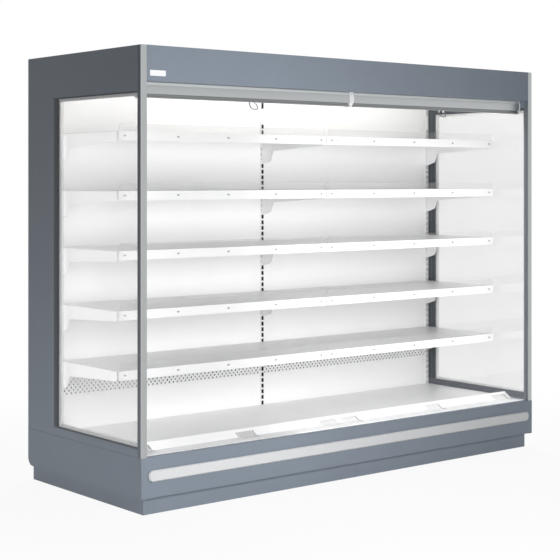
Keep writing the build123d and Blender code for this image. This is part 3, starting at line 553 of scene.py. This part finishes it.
# White moulded lugs under the bar hold the loop.
LUG_TOP = 1.8259
anodised_bar, tree, shader = material_for("anodised_aluminium_bar_moulded_lugs", "#939697", 0.42,
                                          1.0)
shade = surface_detail(tree, shader, ("#8E9192", "#9A9D9E"), 90, 2, 0.015, (0.36, 0.5),
                       (0.01, 1, 1))
place = add(tree, "ShaderNodeTexCoord")
axes = add(tree, "ShaderNodeSeparateXYZ", {0: place.outputs["Object"]})
bar_part = add(tree, "ShaderNodeMath", {0: axes.outputs[2], 1: LUG_TOP}, operation="GREATER_THAN")
both = add(tree, "ShaderNodeMix",
           {0: bar_part.outputs[0], 6: linear("#F0F0F0"), 7: shade.outputs[2]}, data_type="RGBA")
tree.links.new(both.outputs[2], shader.inputs["Base Color"])
tree.links.new(bar_part.outputs[0], shader.inputs["Metallic"])
finish_nodes(anodised_bar, ["pull_bar_left", "pull_bar_right"], 0.3)


# ---- Bumper rail ----
# Light grey rigid vinyl extrusion pushed onto a clip strip along the lower front. Trolleys
# rub it, so its face carries faint scuffs along its length.

bumper_vinyl, tree, shader = material_for("extruded_vinyl_light_grey", "#D8D9DA", 0.45)
surface_detail(tree, shader, ("#D4D5D6", "#DDDEDF"), 240, 6, 0.04, (0.38, 0.55), (0.05, 1, 1))
finish_nodes(bumper_vinyl, ["bumper_rail"], 0.8)


# ---- White sheet metal inside: liner, deck, ledges, shelves, brackets, uprights ----
# Folded steel sheet in a smooth white powder coat, made to be wiped down. The coat is a
# little glossier than the outside and slightly uneven where cloths have polished it.

liner_white, tree, shader = material_for("powder_coat_white_liner", "#F4F4F4", 0.35)
surface_detail(tree, shader, ("#F6F6F6", "#FBFBFB"), 260, 10, 0.02, (0.32, 0.44))
finish_nodes(liner_white, ["canopy_liner", "return_riser_left", "return_riser_right"])
finish_nodes(liner_white, ["shelf_brackets"])

# The middle upright's faces behind its slots are painted near black, a painted shade for the unlit
# duct they open into; the end ones have white foam behind.
DUCT_FROM = back(764.95)
MIDDLE_HALF = 0.1
upright_finish, tree, shader = material_for("powder_coat_white_upright", "#F4F4F4", 0.35)
shade = surface_detail(tree, shader, ("#F6F6F6", "#FBFBFB"), 260, 10, 0.02, (0.32, 0.44))
place = add(tree, "ShaderNodeTexCoord")
axes = add(tree, "ShaderNodeSeparateXYZ", {0: place.outputs["Object"]})
behind = add(tree, "ShaderNodeMath", {0: axes.outputs[1], 1: DUCT_FROM}, operation="GREATER_THAN")
aside = add(tree, "ShaderNodeMath", {0: axes.outputs[0]}, operation="ABSOLUTE")
middle = add(tree, "ShaderNodeMath", {0: aside.outputs[0], 1: MIDDLE_HALF}, operation="LESS_THAN")
unlit = add(tree, "ShaderNodeMath", {0: behind.outputs[0], 1: middle.outputs[0]},
            operation="MULTIPLY")
painted_duct_shade = add(tree, "ShaderNodeMix",
             {0: unlit.outputs[0], 6: shade.outputs[2], 7: linear("#2B2D2F")}, data_type="RGBA")
tree.links.new(painted_duct_shade.outputs[2], shader.inputs["Base Color"])
finish_nodes(upright_finish, ["uprights"])

# The shelves' white is darker than the liner's, a painted shade for the lesser light on their tops.
shelf_white_painted_shade, tree, shader = material_for("powder_coat_white_shelf_painted_shade", "#E4E4E4", 0.35)
surface_detail(tree, shader, ("#E1E1E1", "#E8E8E8"), 260, 10, 0.02, (0.30, 0.42))
for number in range(1, 6):
    finish_nodes(shelf_white_painted_shade, [f"shelf_{number}_left", f"shelf_{number}_right"])

deck_white, tree, shader = material_for("powder_coat_white_deck", "#F5F5F5", 0.35)
surface_detail(tree, shader, ("#F3F3F3", "#F9F9F9"), 260, 10, 0.02, (0.34, 0.48))
finish_nodes(deck_white, ["deck_plate_left", "deck_plate_right"])


# ---- Perforated back panels ----
# White coated duct sheets behind the shelves. A band of punched holes under the lowest
# shelf lets the cold air through: six staggered rows of 7 mm holes, 25 mm apart in a row.

duct_sheet, tree, shader = material_for("powder_coat_white_perforated", "#F4F4F4", 0.35)
surface_detail(tree, shader, ("#F6F6F6", "#FBFBFB"), 260, 10, 0.02, (0.32, 0.44))
CELLS_ALONG = 98
HOLE_ROWS = 6
ROW_SPACING = 0.0133
BAND_LOW = 0.4337
BAND_HIGH = BAND_LOW + HOLE_ROWS * ROW_SPACING
WEB_BESIDE_HOLE = 0.0029
HOLE_CORNER = 0.002
SHEET_THICKNESS = 0.002
for side in ("left", "right"):
    low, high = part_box(f"back_panel_{side}")
    bm = bmesh.new()
    bmesh.ops.create_grid(bm, x_segments=CELLS_ALONG, y_segments=HOLE_ROWS, size=0.5)
    bmesh.ops.transform(bm, verts=bm.verts, matrix=Matrix.Rotation(radians(90), 4, "X"))
    bmesh.ops.scale(bm, verts=bm.verts, vec=(high.x - low.x, 1, BAND_HIGH - BAND_LOW))
    band_middle = ((low.x + high.x) / 2, low.y, (BAND_LOW + BAND_HIGH) / 2)
    bmesh.ops.translate(bm, verts=bm.verts, vec=band_middle)
    cell_width = (high.x - low.x) / CELLS_ALONG
    punched = []
    for face in bm.faces:
        middle = face.calc_center_median()
        column = int((middle.x - low.x) / cell_width)
        row = int((middle.z - BAND_LOW) / ROW_SPACING)
        if (column + row) % 2 == 0:
            punched.append(face)
    # The plain sheet above and below the band, then the folded edges at both sides.
    for axis, rim, grown_axis, reached in (
        (2, BAND_LOW, 2, low.z),
        (2, BAND_HIGH, 2, high.z),
        (0, low.x, 1, high.y),
        (0, high.x, 1, high.y),
    ):
        border = [edge for edge in bm.edges
                  if all(abs(vert.co[axis] - rim) < 1e-5 for vert in edge.verts)]
        grown = bmesh.ops.extrude_edge_only(bm, edges=border)
        for part in grown["geom"]:
            if isinstance(part, bmesh.types.BMVert):
                part.co[grown_axis] = reached
    bmesh.ops.inset_individual(bm, faces=punched, thickness=WEB_BESIDE_HOLE)
    corners = list({vert for face in punched for vert in face.verts})
    bmesh.ops.bevel(bm, geom=corners, offset=HOLE_CORNER, offset_type="OFFSET", segments=1,
                    profile=0.5, affect="VERTICES", material=-1)
    holes = [face for face in bm.faces if len(face.verts) == 8]
    bmesh.ops.delete(bm, geom=holes, context="FACES")
    bmesh.ops.recalc_face_normals(bm, faces=bm.faces)
    bmesh.ops.solidify(bm, geom=bm.faces[:], thickness=SHEET_THICKNESS)
    panel = solid_from(bm, f"duct_panel_{side}", duct_sheet, "cabinet")
    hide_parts(f"back_panel_{side}")


# ---- Fins in the ledges' windows ----
# Moulded white fins, 5.3 mm apart, stand between the teeth of each return-air window and
# hide the tub below. Each follows the ledge from its flat lip up the slope.

fin_plastic, tree, shader = material_for("moulded_polypropylene_white", "#F6F6F6", 0.45)
surface_detail(tree, shader, ("#F3F3F3", "#FBFBFB"), 60, 2, 0.02, (0.38, 0.54))
MODULE_MIDDLES_MM = (-620, 620)
WINDOW_OFFSETS_MM = (-566, 26, 543)
FIN_PITCH = 0.016 / 3
FIN_THICKNESS = 0.0011
FINS_PER_WINDOW = 21
LEDGE_TOP = 0.2566
# Depth behind the posts' face and rise above the ledge, in mm.
FIN_PROFILE = [(81, -1), (123, -1), (153, 18.5), (153, 9), (127, -9), (81, -9)]
bm = bmesh.new()
for module in MODULE_MIDDLES_MM:
    for window in WINDOW_OFFSETS_MM:
        for number in range(FINS_PER_WINDOW):
            x = (module + window) / 1000 + (number - (FINS_PER_WINDOW - 1) / 2) * FIN_PITCH
            outline = [bm.verts.new((x - FIN_THICKNESS / 2, back(depth), LEDGE_TOP + rise / 1000))
                       for depth, rise in FIN_PROFILE]
            grown = bmesh.ops.extrude_face_region(bm, geom=[bm.faces.new(outline)])
            moved = [part for part in grown["geom"] if isinstance(part, bmesh.types.BMVert)]
            bmesh.ops.translate(bm, verts=moved, vec=(FIN_THICKNESS, 0, 0))
solid_from(bm, "ledge_window_fins", fin_plastic, "cabinet")


# ---- Price rails' studs ----
# Each price rail snaps onto its shelf over five small oval studs of grey plastic, 16 mm
# wide and 8 mm high.

stud_plastic, tree, shader = material_for("moulded_acetal_grey", "#8C8F91", 0.4)
surface_detail(tree, shader, ("#868A8C", "#949799"), 8, 1, 0.02, (0.35, 0.5))
SHELF_LEVELS_MM = (604, 874, 1144, 1414, 1684)
STUD_OFFSETS_MM = (-585, -292, 0, 292, 585)
STUD_DROP_MM = 20
RAIL_FACE = back(244.2)
STUD_FOOT_RADIUS = 0.0042
STUD_TIP_RADIUS = 0.0034
STUD_HEIGHT = 0.0016
STUD_WIDENING = 1.9
oval = Matrix.Diagonal((STUD_WIDENING, 1, 1, 1)) @ Matrix.Rotation(radians(90), 4, "X")
bm = bmesh.new()
for level in SHELF_LEVELS_MM:
    for module in MODULE_MIDDLES_MM:
        for offset in STUD_OFFSETS_MM:
            stud_place = ((module + offset) / 1000, RAIL_FACE, (level - STUD_DROP_MM) / 1000)
            bmesh.ops.create_cone(bm, cap_ends=True, segments=12, radius1=STUD_FOOT_RADIUS,
                                  radius2=STUD_TIP_RADIUS, depth=STUD_HEIGHT,
                                  matrix=Matrix.Translation(stud_place) @ oval)
solid_from(bm, "rail_studs", stud_plastic, "cabinet")


# ---- Clear front fences ----
# Extruded clear acrylic strips 3 mm thick that stand behind the shelf edge. Their faces
# nearly vanish, and the sawn edges catch the light as pale lines.

FACE_SHARE = 0.05
EDGE_SHARE = 0.5
FACE_TURN = 0.6
acrylic = bpy.data.materials.new("extruded_acrylic_clear")
acrylic.use_nodes = True
tree = acrylic.node_tree
tree.nodes.clear()
normal = add(tree, "ShaderNodeNewGeometry")
facing = add(tree, "ShaderNodeSeparateXYZ", {0: normal.outputs["Normal"]})
across = add(tree, "ShaderNodeMath", {0: facing.outputs[1]}, operation="ABSOLUTE")
edge = add(tree, "ShaderNodeMath", {0: across.outputs[0], 1: FACE_TURN}, operation="LESS_THAN")
sawn_share = add(tree, "ShaderNodeMath", {0: edge.outputs[0], 1: EDGE_SHARE, 2: FACE_SHARE},
                 operation="MULTIPLY_ADD")
haze_place = add(tree, "ShaderNodeTexCoord")
haze = add(tree, "ShaderNodeTexNoise",
           {"Vector": haze_place.outputs["Object"], "Scale": 14.0, "Detail": 2.0})
haze_shade = add(tree, "ShaderNodeMix",
                 {0: haze.outputs[0], 6: linear("#E2E3E3"), 7: linear("#ECEDED")}, data_type="RGBA")
clear = add(tree, "ShaderNodeBsdfTransparent", {"Color": linear("#FCFCFC")})
sawn = add(tree, "ShaderNodeBsdfPrincipled",
           {"Base Color": haze_shade.outputs[2], "Roughness": 0.25})
mixed = add(tree, "ShaderNodeMixShader",
            {0: sawn_share.outputs[0], 1: clear.outputs[0], 2: sawn.outputs[0]})
add(tree, "ShaderNodeOutputMaterial", {"Surface": mixed.outputs[0]})
finish_nodes(acrylic, ["shelf_fences"])


# ---- Canopy lamp, discharge grille and end caps ----
# A long lamp with an opal lens lights the shelves, and in front of it a moulded grille
# straightens the curtain of air. Both are white plastic, as are the blinds' end caps.

opal, tree, shader = material_for("extruded_polycarbonate_opal", "#F6F6F4", 0.5)
shader.inputs["Emission Color"].default_value = linear("#FFFDF8")
shader.inputs["Emission Strength"].default_value = 6.0
surface_detail(tree, shader, ("#F2F2F0", "#FAFAF8"), 120, 3, 0.01, (0.42, 0.58))
finish_nodes(opal, ["canopy_lamp"], 0.6)

moulded_white, tree, shader = material_for("moulded_abs_white", "#ECECEC", 0.4)
surface_detail(tree, shader, ("#E8E8E8", "#F1F1F1"), 90, 2, 0.03, (0.34, 0.5))
finish_nodes(moulded_white, ["discharge_grille"])
finish_nodes(moulded_white, ["blind_end_caps"], 0.8)

# Thin lamellae behind the grille's bars comb the air into a sheet.
LAMELLA = 0.0008
LAMELLA_ROWS = 8
LAMELLA_PITCH = 0.0125
grille_low, grille_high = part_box("discharge_grille")
comb_low = grille_low + Vector((0.002, 0.006, 0.004))
comb_high = grille_high - Vector((0.002, 0.006, 0.002))
bm = bmesh.new()
row_pitch = (comb_high.y - comb_low.y) / (LAMELLA_ROWS + 1)
for row in range(1, LAMELLA_ROWS + 1):
    y = comb_low.y + row * row_pitch
    add_block(bm, (comb_low.x, y - LAMELLA / 2, comb_low.z),
              (comb_high.x, y + LAMELLA / 2, comb_high.z))
columns = int((comb_high.x - comb_low.x) / LAMELLA_PITCH)
for column in range(1, columns):
    x = comb_low.x + column * LAMELLA_PITCH
    add_block(bm, (x - LAMELLA / 2, comb_low.y, comb_low.z),
              (x + LAMELLA / 2, comb_high.y, comb_high.z))
solid_from(bm, "grille_lamellae", moulded_white, "cabinet")


# ---- Pull loops ----
# Bent stainless wire of 5.2 mm with its ends turned into the bar's lugs, so that it swings.
# At rest it leans 33 degrees from hanging straight down.

wire_steel, tree, shader = material_for("drawn_stainless_wire", "#85888A", 0.34, 1.0)
surface_detail(tree, shader, ("#7B7E80", "#909395"), 12, 1.5, 0.01, (0.22, 0.36))
WIRE_RADIUS = 0.0026
LEAN = radians(-33)
# Half the loop from its pin to the middle, as x and height from the pin's axis.
HALF_LOOP = [(-0.014, 0.0), (-0.0205, 0.0), (-0.021, -0.002), (-0.021, -0.012),
             (-0.0205, -0.026), (-0.012, -0.0328)]
LOOP = HALF_LOOP + [(-x, z) for x, z in reversed(HALF_LOOP)]
for side in ("left", "right"):
    hinge = next(joint["pos_m"] for joint in frame["joints"]
                 if joint["name"] == f"loop_{side}_swing")
    curve = bpy.data.curves.new("wire_path", "CURVE")
    curve.dimensions = "3D"
    curve.bevel_depth = WIRE_RADIUS
    curve.bevel_resolution = 3
    curve.resolution_u = 6
    curve.use_fill_caps = True
    strand = curve.splines.new("NURBS")
    strand.points.add(len(LOOP) - 1)
    for point, (x, z) in zip(strand.points, LOOP):
        point.co = (x, 0, z, 1)
    strand.order_u = 3
    strand.use_endpoint_u = True
    holder = bpy.data.objects.new("wire_path", curve)
    mesh = bpy.data.meshes.new_from_object(holder)
    bpy.data.objects.remove(holder)
    bm = bmesh.new()
    bm.from_mesh(mesh)
    tilted = Matrix.Translation(hinge) @ Matrix.Rotation(LEAN, 4, "X")
    bmesh.ops.transform(bm, verts=bm.verts, matrix=tilted)
    piece = solid_from(bm, f"wire_loop_{side}", wire_steel, f"loop_{side}", smooth=True)
    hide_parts(f"pull_loop_{side}")


# ---- Night blind cloth ----
# Woven cloth with a metallised face, 1.2 m wide. Its free part drops from the roller to
# the pull bar, and the rest is wound on the roller in even turns.

# The yarns are about 0.5 mm apart; this scale draws them every 6 mm so that they show.
WEAVE_SCALE = 53.05
WEAVE_DEPTH = 0.0002
CLOTH_WIDTH = 1.2
blind_weave, tree, shader = material_for("woven_polyester_metallised", "#B9BDBF", 0.5, 0.35)
place = add(tree, "ShaderNodeTexCoord")
warp, weft = (
    add(tree, "ShaderNodeTexWave", {"Vector": place.outputs["Object"], "Scale": WEAVE_SCALE},
        bands_direction=direction)
    for direction in ("X", "Z")
)
weave = add(tree, "ShaderNodeMath", {0: warp.outputs[1], 1: weft.outputs[1]}, operation="MULTIPLY")
yarn = add(tree, "ShaderNodeMix",
           {0: weave.outputs[0], 6: linear("#A9ADAF"), 7: linear("#C6C9CB")}, data_type="RGBA")
relief = add(tree, "ShaderNodeBump",
             {"Height": weave.outputs[0], "Strength": 0.4, "Distance": WEAVE_DEPTH})
tree.links.new(yarn.outputs[2], shader.inputs["Base Color"])
tree.links.new(relief.outputs[0], shader.inputs["Normal"])
for side, centre in (("left", -0.625), ("right", 0.625)):
    low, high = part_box(f"blind_cloth_{side}")
    drop = high.z - low.z
    hang = (low.y + high.y) / 2
    bm = bmesh.new()
    bmesh.ops.create_grid(bm, x_segments=40, y_segments=12, size=0.5)
    bmesh.ops.transform(bm, verts=bm.verts, matrix=Matrix.Rotation(radians(90), 4, "X"))
    bmesh.ops.scale(bm, verts=bm.verts, vec=(CLOTH_WIDTH, 1, drop))
    bmesh.ops.translate(bm, verts=bm.verts, vec=(centre, hang, (low.z + high.z) / 2))
    free = solid_from(bm, f"blind_free_cloth_{side}", blind_weave, "cabinet",
                      smooth=True)
    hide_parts(f"blind_cloth_{side}")
    free.parent = None
    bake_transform(free)


# ---- Blind rollers and the cloth wound on them ----
# Drawn aluminium tube closed by recessed end plugs, whose pins turn in the casing's caps.
# The rest of the cloth lies on it in fifteen even turns, its cut edges showing at the ends.

drawn_tube, tree, shader = material_for("drawn_aluminium_tube", "#B9BCBE", 0.4, 1.0)
surface_detail(tree, shader, ("#B0B3B5", "#C3C6C8"), 60, 2, 0.02, (0.32, 0.48), (0.02, 1, 1))
TUBE_RADIUS = 0.015
TUBE_WALL = 0.0015
PLUG_SINK = 0.003
PLUG_FLARE = 0.0005
PIN_RADIUS = 0.004
PIN_REACH = 0.011
PIN_CHAMFER = 0.0008
# From the tube's rim inwards: its cut end, the plug's recess and face, the pin and its tip.
END_STEPS = [
    (TUBE_WALL, 0.0),
    (PLUG_FLARE, -PLUG_SINK),
    (TUBE_RADIUS - TUBE_WALL - PLUG_FLARE - PIN_RADIUS, 0.0),
    (0.0, PLUG_SINK + PIN_REACH - PIN_CHAMFER),
    (PIN_CHAMFER, PIN_CHAMFER),
]
FIRST_TURN = 0.0152
LAST_TURN = 0.0205
TURNS = 15
STEPS_PER_TURN = 20
for side in ("left", "right"):
    low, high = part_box(f"blind_roller_{side}")
    axis = (low + high) / 2
    length = high.x - low.x
    lengthways = Matrix.Translation(axis) @ Matrix.Rotation(radians(90), 4, "Y")
    bm = bmesh.new()
    bmesh.ops.create_cone(bm, cap_ends=True, segments=32, radius1=TUBE_RADIUS, radius2=TUBE_RADIUS,
                          depth=length - 2 * PIN_REACH, matrix=lengthways)
    plugs = [face for face in bm.faces if len(face.verts) > 4]
    for inset, rise in END_STEPS:
        bmesh.ops.inset_individual(bm, faces=plugs, thickness=inset, depth=rise)
    tube = solid_from(bm, f"roller_tube_{side}", drawn_tube, f"roller_{side}")

    bm = bmesh.new()
    bmesh.ops.create_grid(bm, x_segments=1, y_segments=TURNS * STEPS_PER_TURN, size=0.5)
    for vert in bm.verts:
        wound = vert.co.y + 0.5
        radius = FIRST_TURN + (LAST_TURN - FIRST_TURN) * wound
        angle = pi + 2 * pi * TURNS * wound
        vert.co = axis + Vector((vert.co.x * CLOTH_WIDTH, radius * cos(angle), radius * sin(angle)))
    wound_cloth = solid_from(bm, f"blind_wound_cloth_{side}", blind_weave, f"roller_{side}",
                             smooth=True)
    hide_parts(f"blind_roller_{side}")
